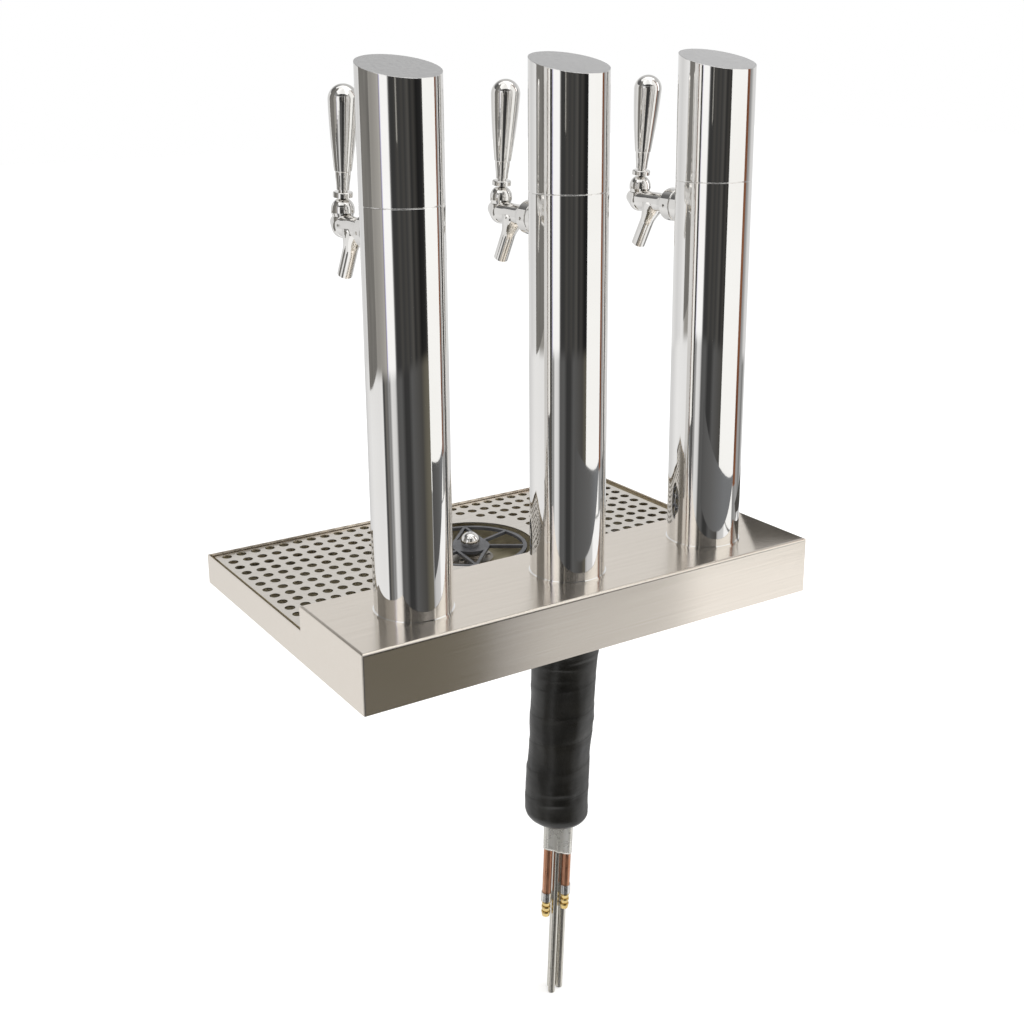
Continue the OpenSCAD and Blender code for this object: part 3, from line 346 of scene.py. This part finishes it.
def soldered_brass(name, solder_end):
    """Brass barb whose cup is tinned with solder down to a ragged edge."""
    def colour(t):
        ragged = t.math("ADD", t.axes("Object")[2], t.math("MULTIPLY", t.noise(190.0), SOLDER_RAGGED))
        tinned = t.span(ragged, 0, 1, solder_end - SOLDER_SOFTNESS, solder_end)
        return t.blend(tinned, tints((0.66, 0.47, 0.17), (0.84, 0.66, 0.32), 150.0)(t),
                       tints((0.74, 0.73, 0.71), (0.86, 0.85, 0.83), 220.0)(t))
    return surface(name, 1.0, colour, spread(0.14, 0.30, 200.0), ripple(260.0, 0.00004))


supply_brass = soldered_brass("supply_brass", SUPPLY_SOLDER_END)
return_brass = soldered_brass("return_brass", RETURN_SOLDER_END)


def cap_steel():
    """Polished sides with a satin, sloping top."""
    def on_top(t):
        dot = t.add("ShaderNodeVectorMath", operation="DOT_PRODUCT")
        t.link(t.coordinate("Normal"), dot, 0)
        dot.inputs[1].default_value = Vector((0, math.sin(CAP_SLOPE), math.cos(CAP_SLOPE)))
        return t.span(dot.outputs["Value"], 0, 1, *CAP_TOP_FACING)

    def colour(t):
        satin = tints((0.60, 0.595, 0.595), (0.70, 0.695, 0.695), 260.0)
        return t.blend(on_top(t), mirror_tint(t), satin(t))

    def roughness(t):
        return t.math("ADD", mirror_roughness(t), t.math("MULTIPLY", on_top(t), CAP_TOP_ROUGHNESS))

    return surface("cap_steel", 1.0, colour, roughness, ripple(*TUBE_WAVES, CAP_EDGE_RADIUS))


caps = cap_steel()
BY_NODE = {
    # The pan and the grid's ledges take the darker steel, painted shade under the grid
    "base_shell": sheet_steel, "base_plate": hidden_steel, "tray_pan": steel_with_painted_shade,
    "grid_ledges": steel_with_painted_shade, "drip_grid": grid_steel, "drain_spud": hidden_steel, "drain_nut": hidden_steel,
    "rinser_body": hidden_steel, "rinser_nut": brass, "rinser_screws": chrome,
    "rinser_plunger": line_steel, "rinser_spring": line_steel, "rinser_star": star_plastic,
    "spray_head": chrome, "foot_screws": line_steel, "shank_nuts": brass,
    "inner_saddles": black_plastic, "coupling_nuts": chrome, "glycol_loop": copper,
    "supply_barb": supply_brass, "return_barb": return_brass, "foil_wrap": foil, "trunk_insulation": tape,
}
# Nodes that each of the left, middle and right columns has
BY_ENDING = {
    "column_tube": polished, "column_cap": caps, "column_foot": polished, "shank": chrome,
    "shank_flange": chrome, "faucet_body": chrome, "bonnet": chrome, "valve_shaft": line_steel,
    "lever": chrome, "ferrule": chrome, "handle": chrome, "beer_line": line_steel,
}
for name, obj in nodes.items():
    side, _, ending = name.partition("_")
    shade(obj, BY_ENDING[ending] if side in ("left", "middle", "right") else BY_NODE[name])


# Trunk pieces

def trunk_point(angle, radius, depth, lean, centre=(0.0, 0.0)):
    """Point round a leaning trunk's axis at a depth below the bar top."""
    x = centre[0] + radius * math.cos(angle)
    y = centre[1] + radius * math.sin(angle)
    cos, sin = math.cos(lean), math.sin(lean)
    return Vector((x * cos + depth * sin, y, -depth * cos + x * sin))


def turns(count):
    """Angles at even steps of one turn."""
    return [2 * math.pi * i / count for i in range(count)]


def around(angle, radius, height):
    """Point round the Z axis."""
    return Vector((radius * math.cos(angle), radius * math.sin(angle), height))


def add_object(name, data):
    """Object in the scene for a mesh, a lamp or a camera."""
    obj = bpy.data.objects.new(name, data)
    bpy.context.scene.collection.objects.link(obj)
    return obj


def ring_mesh(name, rings, looped=False):
    """Mesh of rings of points, each joined to the next."""
    mesh = bpy.data.meshes.new(name)
    bm = bmesh.new()
    rows = [[bm.verts.new(p) for p in ring] for ring in rings]
    count = len(rows[0])
    pairs = list(zip(rows, rows[1:])) + ([(rows[-1], rows[0])] if looped else [])
    for first, second in pairs:
        for k in range(count):
            bm.faces.new((first[k], first[(k + 1) % count], second[(k + 1) % count], second[k]))
    bmesh.ops.recalc_face_normals(bm, faces=bm.faces)
    bm.to_mesh(mesh)
    bm.free()
    for polygon in mesh.polygons:
        polygon.use_smooth = True
    return add_object(name, mesh)


def bell(x, reach):
    """Smooth bump, 1 at 0 and falling away on both sides."""
    return math.exp(-(x / reach) ** 2)


def crease(x, width):
    """Ridge with wider skirts, 1 on its line and falling away on both sides."""
    return 1 / (1 + (x / width) ** 2)


def wrapped_sleeve():
    """Foam sleeve wound with overlapping tape: helical laps, soft bulges, wrinkles and a rounded end."""
    angles = turns(160)
    steps = 300

    def profile(depth):
        over = depth - (SLEEVE_LENGTH - SLEEVE_END_ROUND)
        radius = SLEEVE_RADIUS - WAIST_PINCH * bell(depth - WAIST_DEPTH, WAIST_REACH)
        if over <= 0:
            return radius
        share = min(1.0, over / SLEEVE_END_ROUND)
        return radius - SLEEVE_END_ROUND * (1 - math.sqrt(max(0.0, 1 - share * share)))

    def folds(angle, depth):
        total = 0.0
        for middle, level, reach, width, height in WRINKLES:
            aside = (angle - middle + math.pi) % (2 * math.pi) - math.pi
            bow = depth - level - WRINKLE_BOW * aside * aside + WRINKLE_TILT * aside
            total += height * bell(aside, reach) * crease(bow, width)
        return total

    def wound(angle, depth):
        turn = (depth / TAPE_PITCH + angle / (2 * math.pi)) % 1.0
        lap = TAPE_STEP * (1 - turn) - GROOVE_DEPTH * bell(turn - GROOVE_TURN, GROOVE_REACH)
        here = around(angle, BULGE_AROUND, BULGE_ALONG * depth)
        bulge = BULGE_HEIGHT * noise.noise(here) + DENT_HEIGHT * noise.noise(here * DENT_SCALE)
        most = profile(depth)
        radius = min(most, most - SLEEVE_RECESS + lap + bulge + folds(angle, depth))
        return max(SLEEVE_BORE + SLEEVE_LEAST_WALL, radius)

    rings = []
    for k in range(steps + 1):
        depth = -SLEEVE_TOP + (SLEEVE_LENGTH + SLEEVE_TOP) * (k / steps)
        rings.append([trunk_point(a, wound(a, depth), depth, SLEEVE_LEAN) for a in angles])
    mouth = SLEEVE_LENGTH * math.cos(SLEEVE_LEAN) / math.cos(LINES_LEAN)
    for depth in (mouth - SLEEVE_BORE_EDGE, mouth - SLEEVE_BORE_DEPTH):
        rings.append([trunk_point(a, SLEEVE_BORE, depth, LINES_LEAN, BUNDLE_CENTRE) for a in angles])
    sleeve = ring_mesh("wrapped_sleeve", rings)
    shade(sleeve, tape)
    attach(sleeve, "station")
    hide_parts("trunk_insulation")


wrapped_sleeve()


def tight_outline(angles, spare):
    """Distances from the bundle's centre to a band drawn tight round the tubes."""
    points = [Vector((x + (r + spare) * math.cos(a), y + (r + spare) * math.sin(a)))
              for x, y, r in TUBES for a in turns(48)]
    centre = Vector(BUNDLE_CENTRE)
    result = []
    for angle in angles:
        ahead = Vector((math.cos(angle), math.sin(angle)))
        aside = Vector((-ahead.y, ahead.x))
        near = [((p - centre).dot(ahead), (p - centre).dot(aside)) for p in points]
        left = [q for q in near if q[1] >= 0]
        right = [q for q in near if q[1] < 0]
        # The band crosses this direction on the outermost line between a point on each side
        result.append(max((u * d - v * c) / (d - v) for u, v in left for c, d in right))
    return result


def creased_foil():
    """Foil drawn round the tubes, creased along and across, with a torn lower edge."""
    angles = turns(96)
    hull = tight_outline(angles, FOIL_GAP)
    steps = 150

    def crumple(angle, depth):
        here = around(angle, CRUMPLE_AROUND, CRUMPLE_ALONG * depth)
        sharp = 1 - 2 * abs(noise.noise(here * FOLD_SCALE))
        return FOLD_HEIGHT * max(0.0, sharp) + CREASE_HEIGHT * (1 + noise.noise(here * CREASE_SCALE))

    def lower_edge(angle):
        slant = EDGE_SLANT * math.cos(angle - EDGE_SLANT_TURN)
        tear = TEAR_HEIGHT * noise.noise(around(angle, TEAR_AROUND, TEAR_LEVEL))
        return FOIL_LENGTH - EDGE_RISE + slant + tear

    def ring(share, spare):
        points = []
        for angle, reach in zip(angles, hull):
            depth = -FOIL_TOP + (lower_edge(angle) + FOIL_TOP) * share
            radius = min(reach + crumple(angle, depth), FOIL_MOST_RADIUS) + spare
            points.append(trunk_point(angle, radius, depth, LINES_LEAN, BUNDLE_CENTRE))
        return points

    outer = [ring(k / steps, 0.0) for k in range(steps + 1)]
    inner = [ring(1 - k / steps, -FOIL_THICKNESS) for k in range(steps + 1)]
    wrap = ring_mesh("creased_foil", outer + inner, looped=True)
    shade(wrap, foil)
    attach(wrap, "station")
    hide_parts("foil_wrap")


creased_foil()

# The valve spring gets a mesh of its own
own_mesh(bpy.data.objects["rinser_spring"])


# Studio: cards and walls that only the metal mirrors, floor, world and lamps

def grey(level, tint=(1.0, 1.0, 1.0)):
    """Linear colour of a screen level from 0 to 255."""
    linear = (level / 255) ** 2.2
    return tuple(linear * c for c in tint)


WARM = (1.0, 0.965, 0.90)
OLIVE = (1.0, 0.93, 0.74)
VIOLET = (0.85, 0.78, 1.5)
COOL = (0.97, 1.0, 1.04)

FLOOR_HEIGHT = -0.4345
FLOOR_REACH = 12.0
FLOOR_LIFT = 0.46
WORLD_LIGHT = 0.72
LAMP_AIM = Vector((0, 0, 0.1))

SURROUND_RADIUS = 3.0
SURROUND_HEIGHTS = (-3.0, 1.7)
# Stripes of the surround seen in the columns: direction in degrees from +X, then colour
STRIPES = [
    (0.0, grey(160, WARM)), (5.0, grey(172, WARM)), (7.5, grey(140, WARM)),
    (8.6, grey(165, VIOLET)), (10.5, grey(255)),
    (29.0, grey(255)), (31.5, grey(100)),
    (35.0, grey(60)), (43.0, grey(60)), (50.0, grey(74, WARM)),
    (56.0, grey(62)), (64.0, grey(72, WARM)), (69.0, grey(62)), (78.0, grey(82, WARM)),
    (84.0, grey(50)), (92.0, grey(66, WARM)), (101.0, grey(36)), (114.0, grey(44)), (122.0, grey(90, WARM)),
    (150.0, grey(120)), (172.0, grey(150)), (186.0, grey(215)),
    (250.0, grey(228)), (285.0, grey(212)), (302.0, grey(224)), (318.0, grey(234)),
    (326.0, grey(150, WARM)), (345.0, grey(146, WARM)), (360.0, grey(160, WARM)),
]
# The same below the edge of the backdrop
LOW_STRIPES = [
    (0.0, grey(112, WARM)), (5.0, grey(108)), (9.0, grey(150)), (12.0, grey(130)), (17.0, grey(226)),
    (27.0, grey(214)), (32.0, grey(88)), (43.0, grey(92)), (52.0, grey(58)), (62.0, grey(60)),
    (71.0, grey(90)), (97.0, grey(76, WARM)), (107.0, grey(97, OLIVE)), (122.0, grey(112, OLIVE)),
    (150.0, grey(126)), (172.0, grey(160)), (186.0, grey(120)), (205.0, grey(215)),
    (270.0, grey(212)), (300.0, grey(236)), (342.0, grey(232)), (350.0, grey(236)),
    (352.0, grey(84)), (356.0, grey(70)), (358.0, grey(108, WARM)), (360.0, grey(112, WARM)),
]
LOW_EDGE = -0.37
LOW_EDGE_SOFTNESS = 0.02

# Cloth overhead: radius and height of its rings, and its colours by direction
CANOPY_RINGS = [(SURROUND_RADIUS, 1.75), (2.4, 3.2), (1.3, 4.2), (0.02, 4.25)]
CANOPY_STRIPES = [
    (0.0, grey(150)), (40.0, grey(60)), (75.0, grey(70)), (95.0, grey(190)), (170.0, grey(200)),
    (205.0, grey(196)), (250.0, grey(200)), (285.0, grey(110)), (310.0, grey(90)), (360.0, grey(150)),
]

# Ends of the white card in plan. The low card hangs from its lower edge
CARD_START = (-0.220, 0.645)
CARD_END = (-0.500, 0.205)
CARD_BOTTOM = -0.05
CARD_TOP = 1.6


def glow(name, colour):
    """Material that shines in its own colour."""
    material = bpy.data.materials.new(name)
    material.use_nodes = True
    tree = Nodes(material.node_tree)
    light = tree.add("ShaderNodeEmission")
    output = tree.add("ShaderNodeOutputMaterial")
    tree.link(light.outputs[0], output, "Surface")
    tree.link(colour(tree), light, "Color")
    return material


def reflection_only(obj):
    """A studio card that only shows in metal: it neither lights nor shades anything."""
    obj.visible_camera = False
    obj.visible_diffuse = False
    obj.visible_shadow = False
    obj.visible_transmission = False


def turn_from_x(t):
    """Direction of a point round the studio, as a share of a full turn from +X, and its height."""
    x, y, z = t.axes("Object")
    turn = t.math("DIVIDE", t.math("ARCTAN2", y, x), 2 * math.pi)
    return t.math("FRACT", t.math("ADD", turn, 1.0), 0), z


def striped(t, turn, stripes):
    """Colour of a direction among stripes given in degrees."""
    return t.ramp(turn, [(degrees / 360, colour) for degrees, colour in stripes])


def circle(radius, height, count):
    """Level ring of points round the middle of the studio."""
    return [around(angle, radius, height) for angle in turns(count)]


def surround():
    """Round wall of the studio, with its dark, grey and white stripes."""
    obj = ring_mesh("surround", [circle(SURROUND_RADIUS, z, 180) for z in SURROUND_HEIGHTS])

    def colour(t):
        turn, height = turn_from_x(t)
        above = t.span(height, 0, 1, LOW_EDGE - LOW_EDGE_SOFTNESS, LOW_EDGE + LOW_EDGE_SOFTNESS)
        return t.blend(above, striped(t, turn, LOW_STRIPES), striped(t, turn, STRIPES))

    obj.data.materials.append(glow("surround", colour))
    reflection_only(obj)


def canopy():
    """Grey cloth overhead, with two dark gaps, that domes and cap tops mirror."""
    obj = ring_mesh("canopy", [circle(radius, z, 90) for radius, z in CANOPY_RINGS])
    obj.data.materials.append(glow("canopy", lambda t: striped(t, turn_from_x(t)[0], CANOPY_STRIPES)))
    reflection_only(obj)


def flat_piece(name, corners):
    """Object with one face of four corners."""
    mesh = bpy.data.meshes.new(name)
    mesh.from_pydata(corners, [], [(0, 1, 2, 3)])
    return add_object(name, mesh)


def panel(name, corners, colour):
    """Flat studio card through four corners."""
    obj = flat_piece(name, corners)
    obj.data.materials.append(glow(name, colour))
    reflection_only(obj)


def wall(name, start, end, low, high, colour):
    """Upright card between two points of the plan."""
    panel(name, [(*start, low), (*end, low), (*end, high), (*start, high)], colour)


def along_x(stops):
    """Colours along X, between places in metres."""
    low, high = stops[0][0], stops[-1][0]

    def colour(t):
        share = t.span(t.axes("Object")[0], 0, 1, low, high)
        return t.ramp(share, [((place - low) / (high - low), tint) for place, tint in stops])
    return colour


surround()
canopy()
wall("white_card", CARD_START, CARD_END, CARD_BOTTOM, CARD_TOP,
     tints((0.98, 0.98, 0.96), (1.0, 1.0, 0.99), 1.0))
wall("brown_card", CARD_END, (-0.540, 0.135), 0.01, CARD_TOP,
     tints((0.10, 0.035, 0.018), (0.30, 0.13, 0.07), 12.0, (1, 1, 0.3)))
wall("low_card", CARD_START, (-0.640, -0.055), -0.9, CARD_BOTTOM,
     along_x([(-0.640, grey(252)), (-0.385, grey(252)), (-0.365, grey(206)), (-0.270, grey(196)),
              (-0.220, grey(150))]))
wall("linen_card", (0.400, -0.420), (0.750, -0.240), 0.165, CARD_TOP,
     tints(grey(106, WARM), grey(128, WARM), 6.0))
wall("stand", (0.790, 0.850), (0.835, 0.815), 0.43, 1.3, tints(grey(140, WARM), grey(160, WARM), 6.0))
panel("table_edge", [(0.06, 0.2, 0.02), (-0.54, 0.2, 0.018), (-0.54, 0.2, 0.0195), (0.06, 0.2, 0.1545)],
      along_x([(-0.54, grey(124, COOL)), (-0.25, grey(118, COOL)), (-0.10, grey(98)), (0.06, grey(84))]))
# Dark corner that the right end of the deck mirrors
panel("dark_end", [(-0.29, -0.0696, 0.0666), (-0.29, -0.0329, 0.1134),
                   (-0.29, 0.0578, 0.0707), (-0.29, 0.045, 0.0607)],
      tints(grey(70, WARM), grey(84, WARM), 20.0))


def floor():
    """Pale floor just under the lines, that takes the object's shadow."""
    signs = ((-1, -1), (1, -1), (1, 1), (-1, 1))
    obj = flat_piece("floor", [(x * FLOOR_REACH, y * FLOOR_REACH, FLOOR_HEIGHT) for x, y in signs])
    material = bpy.data.materials.new("floor")
    material.use_nodes = True
    t = Nodes(material.node_tree)
    matt = t.add("ShaderNodeBsdfDiffuse")
    t.link(tints((0.86, 0.86, 0.855), (0.88, 0.88, 0.875), 0.7)(t), matt, "Color")
    # To the camera the floor is lifted to white, apart from the shadow
    lift = t.add("ShaderNodeEmission")
    lift.inputs["Strength"].default_value = FLOOR_LIFT
    both = t.add("ShaderNodeAddShader")
    t.link(matt.outputs[0], both, 0)
    t.link(lift.outputs[0], both, 1)
    choice = t.add("ShaderNodeMixShader")
    path = t.add("ShaderNodeLightPath")
    t.link(path.outputs["Is Camera Ray"], choice, 0)
    t.link(matt.outputs[0], choice, 1)
    t.link(both.outputs[0], choice, 2)
    output = t.add("ShaderNodeOutputMaterial")
    t.link(choice.outputs[0], output, "Surface")
    obj.data.materials.append(material)
    obj.visible_glossy = False


floor()


def world():
    """White all round: full white to the camera and in metal, a little less as light."""
    studio = bpy.data.worlds.new("studio")
    bpy.context.scene.world = studio
    studio.use_nodes = True
    t = Nodes(studio.node_tree)
    path = t.add("ShaderNodeLightPath")
    seen = t.math("ADD", path.outputs["Is Camera Ray"], path.outputs["Is Glossy Ray"])
    seen = t.math("ADD", seen, path.outputs["Is Transmission Ray"], clamp=True)
    back = t.add("ShaderNodeBackground")
    back.inputs["Color"].default_value = (1, 1, 1, 1)
    t.link(t.span(seen, WORLD_LIGHT, 1.0, 0, 1), back, "Strength")
    t.link(back.outputs[0], t.add("ShaderNodeOutputWorld"), "Surface")


world()


def lamp(name, place, size, power):
    """Soft rectangular lamp aimed at the object."""
    data = bpy.data.lights.new(name, "AREA")
    data.shape = "RECTANGLE"
    data.size, data.size_y = size
    data.energy = power
    obj = add_object(name, data)
    obj.location = place
    obj.rotation_euler = (LAMP_AIM - Vector(place)).to_track_quat("-Z", "Y").to_euler()


lamp("overhead", (0.2, 0.3, 2.4), (3.2, 3.0), 28)
lamp("side", (-1.9, 1.0, 0.9), (0.9, 1.6), 9)


# Camera

camera_data = bpy.data.cameras.new("camera")
camera = add_object("camera", camera_data)
bpy.context.scene.camera = camera
camera_data.lens = CAMERA_LENS
camera_data.sensor_width = CAMERA_SENSOR
camera_data.sensor_fit = "HORIZONTAL"
camera_data.shift_x, camera_data.shift_y = CAMERA_SHIFT
aim = CAMERA_AIM.normalized()
level = aim.cross(Vector((0, 0, 1))).normalized()
upright = level.cross(aim)
right = math.cos(CAMERA_ROLL) * level + math.sin(CAMERA_ROLL) * upright
up = -math.sin(CAMERA_ROLL) * level + math.cos(CAMERA_ROLL) * upright
camera.matrix_world = Matrix((
    (right.x, up.x, -aim.x, CAMERA_PLACE.x),
    (right.y, up.y, -aim.y, CAMERA_PLACE.y),
    (right.z, up.z, -aim.z, CAMERA_PLACE.z),
    (0, 0, 0, 1)))

bpy.context.scene.view_settings.view_transform = "Standard"
